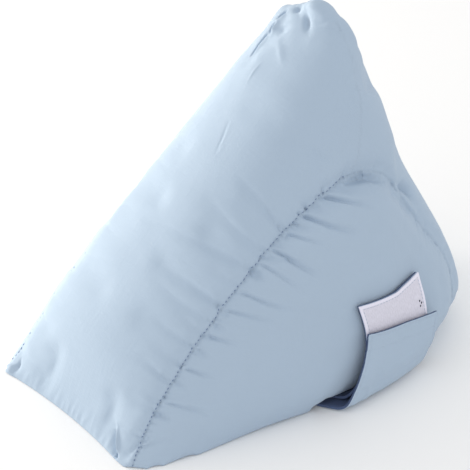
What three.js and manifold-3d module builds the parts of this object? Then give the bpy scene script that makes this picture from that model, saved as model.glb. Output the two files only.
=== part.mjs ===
// Heel support cushion: a stuffed wedge that stands on its flat base, with two straps at one side.
// Millimetres, +Z up. X runs across the cushion, and its sloping front faces -Y.
import * as THREE from "three";
import { mergeVertices } from "three/addons/utils/BufferGeometryUtils.js";
import Module from "manifold-3d";

const wasm = await Module();
wasm.setup();
const { smoothstep, lerp } = THREE.MathUtils;
const at = (x, y, z) => new THREE.Vector3(x, y, z);
const counted = (count, make) => Array.from({ length: count }, (_, i) => make(i));

// Driving dimensions of the cushion. Lengths along the base are measured from its front edge.
const BELLY_HALF_WIDTH = 107; // where the side gusset swells most
const BELLY_AT = 180;
const BELLY_ROUNDNESS = 0.62; // below 1 the gusset swells soon after its seam and is flatter beyond
const GROOVE_DEPTH = 4.5; // how far the gusset seam is drawn in
const GROOVE_REACH = 8; // distance over which the cloth dips towards the seam
const CURL_HEIGHT = 30; // below this height the sides curl in to the base
const CURL_SHARE = 0.1; // share of its half width by which the base is smaller
const CURL_START = 14; // the front edge is sewn flat, so the curl grows behind it
const CURL_FULL = 110;
const CORE = at(0, 170, 70); // folds are pressed towards this point inside the filling

// The wrap panel, a row for each section from the front edge over the ridge to the back edge.
// along: share of the way; crownY, crownZ: the middle of the panel; seamX, seamY, seamZ: its sewn
// edge; fullness: 2 is a round section, more is a squarer one.
const SECTIONS = [
  { along: 0.0, crownY: 0, crownZ: 0, seamX: 79, seamY: 6, seamZ: 0, fullness: 5 },
  { along: 0.04, crownY: 9, crownZ: 19, seamX: 78, seamY: 14, seamZ: 15, fullness: 2.6 },
  { along: 0.12, crownY: 29, crownZ: 60, seamX: 76, seamY: 38, seamZ: 48, fullness: 1.8 },
  { along: 0.25, crownY: 86, crownZ: 119, seamX: 74, seamY: 85, seamZ: 95, fullness: 1.75 },
  { along: 0.4, crownY: 158, crownZ: 193, seamX: 70, seamY: 139, seamZ: 137, fullness: 1.9 },
  { along: 0.5, crownY: 204, crownZ: 244, seamX: 68, seamY: 183, seamZ: 160, fullness: 2.15 },
  { along: 0.56, crownY: 230, crownZ: 267, seamX: 66, seamY: 214, seamZ: 165, fullness: 2.1 },
  { along: 0.64, crownY: 252, crownZ: 232, seamX: 65, seamY: 242, seamZ: 151, fullness: 1.9 },
  { along: 0.75, crownY: 274, crownZ: 153, seamX: 66, seamY: 267, seamZ: 103, fullness: 2.0 },
  { along: 0.88, crownY: 305, crownZ: 72, seamX: 71, seamY: 290, seamZ: 65, fullness: 2.5 },
  { along: 0.95, crownY: 316, crownZ: 27, seamX: 72, seamY: 297, seamZ: 32, fullness: 2.8 },
  { along: 1.0, crownY: 313, crownZ: 0, seamX: 70, seamY: 293, seamZ: 0, fullness: 2.8 },
];

// The folds, a row for each: a straight run from one point of the cloth to another, with its depth
// (below 0 for a raised fold) and half width. both: the far side has the same fold.
const FOLDS = [
  { name: "hood", from: at(66, 207, 162), to: at(65, 248, 137), depth: 5, width: 9, both: true },
  { name: "back bulges", from: at(58, 260, 155), to: at(61, 259, 121), depth: 5, width: 9, both: true },
  { name: "ridge end", from: at(47, 231, 238), to: at(53, 237, 232), depth: 4, width: 8, both: false },
  { name: "ridge tip", from: at(-45, 227, 245), to: at(-50, 229, 241), depth: -7, width: 9, both: false },
  { name: "first pleat", from: at(-30, 218, 252), to: at(-29, 205, 238), depth: 4.5, width: 6, both: false },
  { name: "second pleat", from: at(-31, 203, 236), to: at(-34, 193, 223), depth: 4, width: 6, both: false },
  { name: "pleat edge", from: at(-21, 190, 224), to: at(-22, 182, 214), depth: -2.5, width: 6, both: false },
  { name: "ridge valley", from: at(-14, 224, 263), to: at(1, 215, 255), depth: 3.5, width: 7, both: false },
  { name: "front corner hollow", from: at(38, 5, 13), to: at(36, 14, 31), depth: 4, width: 8, both: true },
  { name: "front corner wrinkle", from: at(65, 3, 3), to: at(72, 13, 16), depth: 3, width: 6, both: true },
  { name: "gusset pucker 1", from: at(68, 185, 157), to: at(78, 220, 141), depth: 3, width: 6, both: true },
  { name: "gusset pucker 2", from: at(68, 165, 148), to: at(86, 202, 129), depth: 3, width: 6, both: true },
  { name: "gusset pucker 3", from: at(73, 137, 130), to: at(89, 161, 110), depth: 3, width: 7, both: true },
  { name: "gusset pucker 4", from: at(75, 95, 99), to: at(91, 123, 86), depth: 2.5, width: 7, both: true },
  { name: "wrap fold 1", from: at(41, 136, 161), to: at(64, 147, 142), depth: 2.5, width: 7, both: true },
  { name: "wrap fold 2", from: at(30, 108, 137), to: at(68, 119, 119), depth: 3, width: 8, both: true },
  { name: "wrap fold 3", from: at(11, 77, 109), to: at(67, 96, 102), depth: 2.5, width: 9, both: false },
  { name: "wrap fold 4", from: at(26, 51, 82), to: at(73, 68, 74), depth: 2.5, width: 9, both: true },
  { name: "wrap fold 5", from: at(53, 23, 41), to: at(76, 33, 37), depth: 2, width: 7, both: true },
  { name: "wrap fold 6", from: at(1, 168, 202), to: at(63, 194, 193), depth: 2.5, width: 11, both: false },
];

// Mesh lines: sections along the wrap, points from crown to seam and from seam to belly
const SECTION_STEPS = 72;
const WRAP_STEPS = 15;
const GUSSET_STEPS = 10;
const SEAM_LINES = [4, 9, 15]; // distances from the seam at which the mesh has a line
const SAMPLES = 160; // fine steps along which a section is measured

// Straps. A row's front and back are the two edges of the strap: how far each lies behind the
// cushion's front edge (Y), how high it is (Z), and the distance of the strap's inner face from the
// cushion's side (Out), below 0 where the strap lies under the base.
const STRAP_LEVEL = 18; // below this height, out is measured from the side at this height
const RECESS_HEIGHT = 7.4; // the base gives way to the straps under it
const RECESS_REACH = 0.4; // share of the outer strap's length that it covers
const RECESS_MARGIN = 1.12; // its size over that of the strap
const INNER_THICKNESS = 2.4;
const OUTER_THICKNESS = 3;
const TAPE_THICKNESS = 1.4;
const TAPE_GAP = 0.42;
const TAPE_FROM = 0.6; // shares of the inner strap's length
const TAPE_TO = 0.97;
const TAPE_MARGIN = 0.055; // share of the inner strap's width at either edge
const INNER_STRAP = [
  { along: 0.0, frontY: 150, backY: 209, frontZ: 6.6, backZ: 6.6, frontOut: -34, backOut: -38 },
  { along: 0.2, frontY: 166, backY: 227, frontZ: 6.6, backZ: 6.6, frontOut: -12, backOut: -16 },
  { along: 0.27, frontY: 171, backY: 232, frontZ: 6.3, backZ: 6.3, frontOut: -6, backOut: -6.5 },
  { along: 0.31, frontY: 175, backY: 235, frontZ: 7.4, backZ: 7.4, frontOut: -1.8, backOut: -1.8 },
  { along: 0.35, frontY: 179, backY: 239, frontZ: 11, backZ: 11, frontOut: -0.1, backOut: -0.1 },
  { along: 0.4, frontY: 183, backY: 243, frontZ: 15, backZ: 15, frontOut: 0.8, backOut: 0.8 },
  { along: 0.48, frontY: 187, backY: 247, frontZ: 23, backZ: 22, frontOut: 1.4, backOut: 1.4 },
  { along: 0.62, frontY: 191, backY: 250, frontZ: 39, backZ: 35, frontOut: 1.4, backOut: 1.4 },
  { along: 0.8, frontY: 191, backY: 251, frontZ: 60, backZ: 55, frontOut: 1.4, backOut: 1.4 },
  { along: 1.0, frontY: 187, backY: 248, frontZ: 81, backZ: 79, frontOut: 1.4, backOut: 1.4 },
];
const OUTER_STRAP = [
  { along: 0.0, frontY: 140, backY: 215, frontZ: 3.2, backZ: 3.2, frontOut: -36, backOut: -43 },
  { along: 0.25, frontY: 160, backY: 236, frontZ: 3.2, backZ: 3.2, frontOut: -6, backOut: -14 },
  { along: 0.36, frontY: 167, backY: 242, frontZ: 4.2, backZ: 3.7, frontOut: 4.2, backOut: -3.3 },
  { along: 0.45, frontY: 171, backY: 246, frontZ: 10, backZ: 8, frontOut: 8.5, backOut: 2 },
  { along: 0.6, frontY: 178, backY: 251, frontZ: 24, backZ: 18, frontOut: 8.6, backOut: 5 },
  { along: 0.8, frontY: 186, backY: 256, frontZ: 43, backZ: 32, frontOut: 6.9, backOut: 6.4 },
  { along: 1.0, frontY: 190, backY: 259, frontZ: 60, backZ: 46, frontOut: 6.3, backOut: 6.3 },
];
const STRAP_STEPS_ALONG = 26;
const STRAP_STEPS_ACROSS = 9;
const TAPE_STEPS_ALONG = 10;

// Smooth value of one column of a table at a share of the way, through every row.
function column(rows, key, share) {
  let i = 0;
  while (i < rows.length - 2 && share > rows[i + 1].along) i++;
  const slope = (k) => {
    const before = rows[Math.max(k - 1, 0)];
    const after = rows[Math.min(k + 1, rows.length - 1)];
    return (after[key] - before[key]) / (after.along - before.along);
  };
  const from = rows[i];
  const to = rows[i + 1];
  const step = to.along - from.along;
  const t = (share - from.along) / step;
  return (
    (2 * t ** 3 - 3 * t ** 2 + 1) * from[key] +
    (t ** 3 - 2 * t ** 2 + t) * step * slope(i) +
    (3 * t ** 2 - 2 * t ** 3) * to[key] +
    (t ** 3 - t ** 2) * step * slope(i + 1)
  );
}

// Points on a finely sampled line, at distances that are worked out from its length.
function spaced(line, distancesFor) {
  const lengths = [0];
  for (let i = 1; i < line.length; i++)
    lengths.push(lengths[i - 1] + line[i].distanceTo(line[i - 1]));
  return distancesFor(lengths.at(-1)).map((distance) => {
    let i = 1;
    while (i < line.length - 1 && lengths[i] < distance) i++;
    const share = (distance - lengths[i - 1]) / (lengths[i] - lengths[i - 1]);
    return line[i - 1].clone().lerp(line[i], share);
  });
}

// Half a section of the wrap panel, from its crown to its sewn edge.
function wrapLine(share) {
  const row = (key) => column(SECTIONS, key, share);
  const crown = at(0, row("crownY"), row("crownZ"));
  const seam = at(0, row("seamY"), row("seamZ"));
  const full = row("fullness");
  return counted(SAMPLES + 1, (i) => {
    const turn = ((i / SAMPLES) * Math.PI) / 2;
    const reach = (Math.sin(turn) ** full + Math.cos(turn) ** full) ** (-1 / full);
    const point = crown.clone().lerp(seam, 1 - reach * Math.cos(turn));
    point.x = row("seamX") * reach * Math.sin(turn);
    return point;
  });
}

// The gusset from its sewn edge to the belly point on the floor.
function gussetLine(seam) {
  return counted(SAMPLES + 1, (i) => {
    const share = i / SAMPLES;
    const swell = Math.sin((share * Math.PI) / 2) ** BELLY_ROUNDNESS;
    return at(lerp(seam.x, BELLY_HALF_WIDTH, swell), lerp(seam.y, BELLY_AT, share), seam.z * (1 - share));
  });
}

// Presses every fold into a point of the cloth, or raises it.
function folded(point) {
  const inward = CORE.clone().sub(point).normalize();
  const fold = (from, to, depth, width) => {
    const nearest = new THREE.Line3(from, to).closestPointToPoint(point, true, at(0, 0, 0));
    return depth * Math.exp(-((nearest.distanceTo(point) / width) ** 2));
  };
  const flipped = (p) => at(-p.x, p.y, p.z);
  let press = 0;
  for (const { from, to, depth, width, both } of FOLDS) {
    press += fold(from, to, depth, width);
    if (both) press += fold(flipped(from), flipped(to), depth, width);
  }
  return point.addScaledVector(inward, press * smoothstep(point.z, 0, GROOVE_REACH));
}

// A point of one side, given as if near: drawn in at the seam, curled in at the foot, then folded.
function shaped(point, fromSeam, side) {
  const groove = Math.exp(-((fromSeam / GROOVE_REACH) ** 2));
  const dip = GROOVE_DEPTH * groove * smoothstep(point.z, 0, CURL_HEIGHT);
  const low = Math.max(0, 1 - point.z / CURL_HEIGHT) ** 2;
  const curl = CURL_SHARE * low * smoothstep(point.y, CURL_START, CURL_FULL);
  const behind = Math.max(0, point.y - BELLY_AT);
  return folded(at(side * (point.x - dip) * (1 - curl), point.y - behind * curl, point.z));
}

// One side of a section: crown, seam, and on towards the belly point, which is left out.
function halfSection(share, side) {
  const wrap = wrapLine(share);
  const seam = wrap.at(-1);
  const far = SEAM_LINES.at(-1);
  const onWrap = spaced(wrap, (length) => {
    const even = WRAP_STEPS - SEAM_LINES.length;
    const fromCrown = counted(even, (i) => ((length - far) * i) / even);
    return [...fromCrown, ...SEAM_LINES.toReversed().map((d) => length - d), length];
  });
  const onGusset = spaced(gussetLine(seam), (length) => {
    const even = GUSSET_STEPS - SEAM_LINES.length;
    return [...SEAM_LINES, ...counted(even, (i) => far + ((length - far) * (i + 1)) / (even + 1))];
  });
  return [...onWrap, ...onGusset].map((p) => shaped(p, p.distanceTo(seam), side));
}

// Facets between the points of quads, as the position list of a geometry.
class Facets {
  points = [];
  quad(a, b, c, d) {
    this.points.push(a, b, c, a, c, d);
  }
  geometry() {
    return new THREE.BufferGeometry().setFromPoints(this.points);
  }
}

// The whole filled body: sections from side to side, closed at the two belly points and the base.
function cushionGeometry() {
  const belly = (side) => shaped(at(BELLY_HALF_WIDTH, BELLY_AT, 0), BELLY_AT, side);
  const rows = counted(SECTION_STEPS + 1, (i) => {
    const share = i / SECTION_STEPS;
    return [belly(1), ...halfSection(share, 1).toReversed(), ...halfSection(share, -1).slice(1), belly(-1)];
  });
  const facets = new Facets();
  for (let j = 0; j < rows[0].length - 1; j++) {
    for (let i = 0; i < SECTION_STEPS; i++)
      facets.quad(rows[i][j], rows[i + 1][j], rows[i + 1][j + 1], rows[i][j + 1]);
    const back = rows[SECTION_STEPS];
    const front = rows[0];
    facets.quad(back[j], front[j], front[j + 1], back[j + 1]);
  }
  return facets.geometry();
}

// A closed solid of a geometry, with the corners that meet made one.
function solidOf(geometry) {
  const bare = geometry.clone();
  bare.deleteAttribute("normal");
  bare.deleteAttribute("uv");
  const merged = mergeVertices(bare, 1e-3);
  return new wasm.Manifold(
    new wasm.Mesh({
      numProp: 3,
      vertProperties: merged.attributes.position.array,
      triVerts: new Uint32Array(merged.index.array),
    }),
  );
}

function geometryOf(solid) {
  const { vertProperties, triVerts } = solid.getMesh();
  return new THREE.BufferGeometry()
    .setAttribute("position", new THREE.BufferAttribute(vertProperties, 3))
    .setIndex(new THREE.BufferAttribute(triVerts, 1));
}

// How far out the cushion's side stands, at a place along its base and a height.
function sideFinder(geometry) {
  const surface = new THREE.Mesh(geometry);
  const beyond = 2 * BELLY_HALF_WIDTH;
  const ray = new THREE.Raycaster();
  return (y, z) => {
    ray.set(at(beyond, y, z), at(-1, 0, 0));
    return ray.intersectObject(surface)[0].point.x;
  };
}

// The inner face of a strap: along 0 to 1 from root to end, across 0 to 1 from front to back edge.
function strapFace(rows, sideAt) {
  return (along, across) => {
    const row = (key) => column(rows, key, along);
    const y = lerp(row("frontY"), row("backY"), across);
    const z = lerp(row("frontZ"), row("backZ"), across);
    const out = lerp(row("frontOut"), row("backOut"), across);
    return at(sideAt(y, Math.max(z, STRAP_LEVEL)) + out, y, z);
  };
}

// The same face moved out by a distance, square to the cloth.
function raised(face, distance) {
  const step = 0.01;
  return (along, across) => {
    const [a0, a1] = [Math.max(along - step, 0), Math.min(along + step, 1)];
    const [c0, c1] = [Math.max(across - step, 0), Math.min(across + step, 1)];
    const alongWay = face(a1, across).sub(face(a0, across));
    const acrossWay = face(along, c1).sub(face(along, c0));
    return face(along, across).addScaledVector(acrossWay.cross(alongWay).normalize(), distance);
  };
}

// A sheet of cloth of a thickness on a face.
function sheetGeometry(face, thickness, stepsAlong, stepsAcross) {
  const grid = (surface) =>
    counted(stepsAlong + 1, (i) => counted(stepsAcross + 1, (j) => surface(i / stepsAlong, j / stepsAcross)));
  const inner = grid(face);
  const outer = grid(raised(face, thickness));
  const facets = new Facets();
  for (let i = 0; i < stepsAlong; i++) {
    for (let j = 0; j < stepsAcross; j++) {
      facets.quad(outer[i][j], outer[i][j + 1], outer[i + 1][j + 1], outer[i + 1][j]);
      facets.quad(inner[i][j], inner[i + 1][j], inner[i + 1][j + 1], inner[i][j + 1]);
    }
    facets.quad(inner[i][0], outer[i][0], outer[i + 1][0], inner[i + 1][0]);
    const j = stepsAcross;
    facets.quad(outer[i][j], inner[i][j], inner[i + 1][j], outer[i + 1][j]);
  }
  for (let j = 0; j < stepsAcross; j++) {
    facets.quad(outer[0][j], inner[0][j], inner[0][j + 1], outer[0][j + 1]);
    const i = stepsAlong;
    facets.quad(inner[i][j], outer[i][j], outer[i][j + 1], inner[i][j + 1]);
  }
  return facets.geometry();
}

// The block that is cut out of the base where the straps pass under it.
function recessGeometry(face) {
  const corners = [face(0, 0), face(RECESS_REACH, 0), face(RECESS_REACH, 1), face(0, 1)];
  const centre = corners.reduce((sum, p) => sum.add(p), at(0, 0, 0)).divideScalar(corners.length);
  const outline = corners.map((p) => p.clone().sub(centre).multiplyScalar(RECESS_MARGIN).add(centre));
  const shape = new THREE.Shape(outline.map((p) => new THREE.Vector2(p.x, p.y)));
  return new THREE.ExtrudeGeometry(shape, { depth: 2 * RECESS_HEIGHT, bevelEnabled: false })
    .translate(0, 0, -RECESS_HEIGHT);
}

const fabric = (name, color, roughness) =>
  new THREE.MeshStandardMaterial({ name, color, roughness, metalness: 0 });
const cotton = fabric("cotton", 0xb4c8dc, 0.9);
const loopPile = fabric("loop pile", 0xcfcde0, 1);

function piece(name, geometry, material) {
  const mesh = new THREE.Mesh(geometry, material);
  mesh.name = name;
  mesh.geometry.computeVertexNormals();
  return mesh;
}

const body = cushionGeometry();
body.computeVertexNormals();
const sideAt = sideFinder(body);
const innerFace = strapFace(INNER_STRAP, sideAt);
const outerFace = strapFace(OUTER_STRAP, sideAt);
const innerTop = raised(innerFace, INNER_THICKNESS + TAPE_GAP);
const tapeFace = (along, across) =>
  innerTop(lerp(TAPE_FROM, TAPE_TO, along), lerp(TAPE_MARGIN, 1 - TAPE_MARGIN, across));

const strapGeometry = (face, thickness) =>
  sheetGeometry(face, thickness, STRAP_STEPS_ALONG, STRAP_STEPS_ACROSS);
const tapeGeometry = sheetGeometry(tapeFace, TAPE_THICKNESS, TAPE_STEPS_ALONG, STRAP_STEPS_ACROSS);

const group = new THREE.Group();
group.add(
  piece("cushion", geometryOf(solidOf(body).subtract(solidOf(recessGeometry(outerFace)))), cotton),
  piece("strap_inner", strapGeometry(innerFace, INNER_THICKNESS), cotton),
  piece("loop_tape", tapeGeometry, loopPile),
  piece("strap_outer", strapGeometry(outerFace, OUTER_THICKNESS), cotton),
);

// The part's origin is the middle of its footprint, on the floor.
const box = new THREE.Box3().setFromObject(group);
const middle = box.getCenter(at(0, 0, 0));
group.position.set(-middle.x, -middle.y, -box.min.z);
export default group;
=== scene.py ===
"""Scene of a heel support cushion: a stuffed cotton wedge with two straps and a loop tape.

Everything is in metres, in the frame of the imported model: +Z up, the slope faces -Y, and the straps
hang on the +X side. Tables give millimetres in the cushion's own frame: x from its middle plane,
y from its front edge, z from the floor.
"""

import logging
import math
from collections.abc import Callable, Sequence
from dataclasses import dataclass, field
from enum import Enum
from typing import Any, ClassVar

import bmesh
import bpy
import numpy as np
from mathutils import Matrix, Vector, noise
from mathutils.bvhtree import BVHTree

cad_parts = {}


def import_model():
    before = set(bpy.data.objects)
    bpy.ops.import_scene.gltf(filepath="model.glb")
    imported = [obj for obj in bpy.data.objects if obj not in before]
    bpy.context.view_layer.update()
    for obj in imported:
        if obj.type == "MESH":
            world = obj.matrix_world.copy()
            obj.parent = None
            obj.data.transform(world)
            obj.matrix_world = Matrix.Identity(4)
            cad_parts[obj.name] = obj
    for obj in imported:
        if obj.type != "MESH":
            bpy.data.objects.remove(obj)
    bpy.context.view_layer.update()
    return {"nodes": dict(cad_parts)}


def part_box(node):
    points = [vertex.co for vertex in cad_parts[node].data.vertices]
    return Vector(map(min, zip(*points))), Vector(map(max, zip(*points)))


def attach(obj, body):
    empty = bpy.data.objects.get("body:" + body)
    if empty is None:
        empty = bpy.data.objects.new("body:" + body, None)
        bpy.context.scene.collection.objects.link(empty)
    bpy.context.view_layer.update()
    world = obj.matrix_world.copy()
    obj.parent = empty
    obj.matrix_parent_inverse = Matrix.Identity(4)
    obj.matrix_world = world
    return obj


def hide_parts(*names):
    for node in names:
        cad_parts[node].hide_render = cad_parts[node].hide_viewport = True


log = logging.getLogger("heel_cushion")

MM = 0.001
BODY = "root"
Face = Callable[[float, float], np.ndarray]


class Side(Enum):
    """The two sides of the cushion. The straps hang on the near one."""

    NEAR = 1
    FAR = -1


class Panel(Enum):
    """The panels that the seam joins, by the sign of their distance from it."""

    WRAP = 1
    GUSSET = -1


class Taper(Enum):
    """Where a crease runs out: at both its ends, or only at its far end."""

    BOTH = 0
    END = 1


def smooth_value(rows: Sequence[Any], column: str, share: float) -> float:
    """Reads one column of a table smoothly through every row.

    Args:
        rows: the table's rows, each with an along value.
        column: the name of the column.
        share: how far along the table to read it, from 0 to 1.

    Returns:
        The column's value there.
    """
    last = len(rows) - 1
    i = 0
    while i < last - 1 and share > rows[i + 1].along:
        i += 1

    def slope(k: int) -> float:
        """Slope of the column through one row's neighbours."""
        before, after = rows[max(k - 1, 0)], rows[min(k + 1, last)]
        return (getattr(after, column) - getattr(before, column)) / (after.along - before.along)

    start, end = rows[i], rows[i + 1]
    step = end.along - start.along
    t = (share - start.along) / step
    return (
        (2 * t**3 - 3 * t**2 + 1) * getattr(start, column)
        + (t**3 - 2 * t**2 + t) * step * slope(i)
        + (3 * t**2 - 2 * t**3) * getattr(end, column)
        + (t**3 - t**2) * step * slope(i + 1)
    )


def fade(values: np.ndarray, start: float, end: float) -> np.ndarray:
    """Smooth step of values from 0 at start to 1 at end."""
    t = np.clip((values - start) / (end - start), 0.0, 1.0)
    return t * t * (3 - 2 * t)


@dataclass
class Route:
    """A line through points in space, measured along its length."""

    points: np.ndarray
    lengths: np.ndarray = field(init=False)

    def __post_init__(self) -> None:
        """Measures the line."""
        steps = np.linalg.norm(np.diff(self.points, axis=0), axis=1)
        self.lengths = np.concatenate([[0.0], np.cumsum(steps)])

    @property
    def length(self) -> float:
        """Whole length of the line."""
        return float(self.lengths[-1])

    def at(self, distance: float) -> np.ndarray:
        """Point at a distance along the line."""
        return np.array([np.interp(distance, self.lengths, self.points[:, k]) for k in range(3)])

    def nearest(self, places: np.ndarray) -> tuple[np.ndarray, np.ndarray, np.ndarray]:
        """Finds where each place is nearest to the line.

        Args:
            places: points in space, one a row.

        Returns:
            The distance from the line, the distance along it, and the nearest points.
        """
        best = np.full(len(places), np.inf)
        along = np.zeros(len(places))
        feet = np.zeros_like(places)
        for start, end, before in zip(self.points[:-1], self.points[1:], self.lengths[:-1]):
            way = end - start
            span = float(way @ way)
            share = np.clip((places - start) @ way / span, 0.0, 1.0)
            foot = start + share[:, None] * way
            gap = np.linalg.norm(places - foot, axis=1)
            closer = gap < best
            best[closer] = gap[closer]
            along[closer] = before + share[closer] * math.sqrt(span)
            feet[closer] = foot[closer]
        return best, along, feet


def vectors_of(items: bpy.types.bpy_prop_collection, name: str) -> np.ndarray:
    """Reads one vector of each item of a mesh.

    Args:
        items: the items, such as the mesh's vertices.
        name: the attribute that holds the vector.

    Returns:
        The vectors, one a row.
    """
    rows = np.empty(len(items) * 3)
    items.foreach_get(name, rows)
    return rows.reshape(-1, 3)


def places_of(mesh: bpy.types.Mesh) -> np.ndarray:
    """Vertex places of a mesh, one a row."""
    return vectors_of(mesh.vertices, "co")


def normals_of(mesh: bpy.types.Mesh) -> np.ndarray:
    """Vertex normals of a mesh, one a row."""
    return vectors_of(mesh.vertex_normals, "vector")


def move_to(mesh: bpy.types.Mesh, places: np.ndarray) -> None:
    """Moves a mesh's vertices to new places."""
    mesh.vertices.foreach_set("co", places.ravel())
    mesh.update()


def move_above_floor(mesh: bpy.types.Mesh, places: np.ndarray) -> None:
    """Moves a mesh's vertices to new places, with none below the floor."""
    places[:, 2] = np.maximum(places[:, 2], 0.0)
    move_to(mesh, places)


def evened(mesh: bpy.types.Mesh, values: np.ndarray, rounds: int) -> np.ndarray:
    """Averages vectors at a mesh's vertices with those of their neighbours.

    Args:
        mesh: the mesh.
        values: one vector a vertex.
        rounds: how many times they are averaged.

    Returns:
        The evened vectors.
    """
    ends = np.empty(len(mesh.edges) * 2, dtype=int)
    mesh.edges.foreach_get("vertices", ends)
    first, second = ends.reshape(-1, 2).T
    count = np.bincount(ends, minlength=len(values))[:, None]
    for _ in range(rounds):
        total = np.zeros_like(values)
        np.add.at(total, first, values[second])
        np.add.at(total, second, values[first])
        values = (values + total / count) / 2
    return values


def surface_of(mesh: bpy.types.Mesh) -> BVHTree:
    """Search tree of a mesh's surface."""
    return BVHTree.FromPolygons([v.co for v in mesh.vertices], [p.vertices for p in mesh.polygons])


def shade_smooth(mesh: bpy.types.Mesh) -> None:
    """Shades every face of a mesh smoothly."""
    mesh.polygons.foreach_set("use_smooth", [True] * len(mesh.polygons))
    mesh.update()


def new_piece(name: str, shape: bmesh.types.BMesh) -> bpy.types.Object:
    """Makes an object of a bmesh at the origin, and frees the bmesh.

    Args:
        name: the piece's name.
        shape: its shape, in the model's frame.

    Returns:
        The new object, linked to the scene.
    """
    mesh = bpy.data.meshes.new(name)
    shape.to_mesh(mesh)
    shape.free()
    piece = bpy.data.objects.new(name, mesh)
    bpy.context.scene.collection.objects.link(piece)
    return piece


def settle_modifiers(piece: bpy.types.Object) -> None:
    """Applies a piece's modifiers, so that its mesh holds what they make.

    Args:
        piece: the piece, which gets a new mesh.
    """
    graph = bpy.context.evaluated_depsgraph_get()
    graph.update()
    made = bpy.data.meshes.new_from_object(piece.evaluated_get(graph))
    piece.modifiers.clear()
    old = piece.data
    piece.data = made
    bpy.data.meshes.remove(old)


def dress(
    piece: bpy.types.Object, finish: "Finish", back: "Finish | None" = None
) -> None:
    """Gives a piece its finish, and lets it ride on the body.

    Args:
        piece: the piece.
        finish: its finish.
        back: the finish with painted shade for its inner face and rims, if that is another.
    """
    # clearing sends every face to the first slot, so it is done only where there is something
    if piece.data.materials:
        piece.data.materials.clear()
    for each in (finish, back):
        if each is not None:
            piece.data.materials.append(each.material())
    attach(piece, BODY)
    log.info("%s: %d vertices", piece.name, len(piece.data.vertices))


class Socket:
    """An output of a shader node, on which Python maths adds Math nodes."""

    def __init__(self, graph: "Graph", socket: bpy.types.NodeSocket) -> None:
        """Keeps the socket and the graph that it belongs to."""
        self.graph = graph
        self.socket = socket

    def _maths(self, operation: str, first: Any, second: Any) -> "Socket":
        """Adds a Math node on two values or sockets, and gives its output."""
        made = self.graph.node("ShaderNodeMath", {"operation": operation}, {0: first, 1: second})
        return made["Value"]

    def __add__(self, other: Any) -> "Socket":
        """Sum."""
        return self._maths("ADD", self, other)

    __radd__ = __add__

    def __sub__(self, other: Any) -> "Socket":
        """Difference."""
        return self._maths("SUBTRACT", self, other)

    def __rsub__(self, other: Any) -> "Socket":
        """Difference, with this socket taken away."""
        return self._maths("SUBTRACT", other, self)

    def __mul__(self, other: Any) -> "Socket":
        """Product."""
        return self._maths("MULTIPLY", self, other)

    __rmul__ = __mul__

    def sine(self) -> "Socket":
        """Sine of the value."""
        return self._maths("SINE", self, 0.0)

    def distance(self, other: float) -> "Socket":
        """How far the value is from a number, always positive."""
        return self._maths("ABSOLUTE", self - other, 0.0)

    def above(self, level: float) -> "Socket":
        """1 where the value is above a level, 0 elsewhere."""
        return self._maths("GREATER_THAN", self, level)

    def larger(self, other: Any) -> "Socket":
        """The larger of two values."""
        return self._maths("MAXIMUM", self, other)


@dataclass
class Made:
    """A node that a graph has made, whose outputs are read by name."""

    graph: "Graph"
    node: bpy.types.Node

    def __getitem__(self, name: str) -> Socket:
        """Output of the node by its name."""
        return Socket(self.graph, self.node.outputs[name])


class Graph:
    """The node tree of one material."""

    def __init__(self, name: str) -> None:
        """Starts an empty material.

        Args:
            name: the material's name.
        """
        self.material = bpy.data.materials.new(name)
        self.material.use_nodes = True
        self.material.node_tree.nodes.clear()

    def node(self, kind: str, settings: dict[str, Any], inputs: dict[Any, Any]) -> Made:
        """Makes a node.

        Args:
            kind: the node's type name.
            settings: its own settings, which are set first; stops fills a colour ramp.
            inputs: values or sockets for its inputs, by name or place.

        Returns:
            The node, with its outputs by name.
        """
        node = self.material.node_tree.nodes.new(kind)
        for name, value in settings.items():
            if name == "stops":
                for element, (place, colour) in zip(node.color_ramp.elements, value):
                    element.position, element.color = place, colour
            else:
                setattr(node, name, value)
        for name, value in inputs.items():
            if isinstance(value, Socket):
                self.material.node_tree.links.new(value.socket, node.inputs[name])
            else:
                node.inputs[name].default_value = value
        return Made(self, node)


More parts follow.
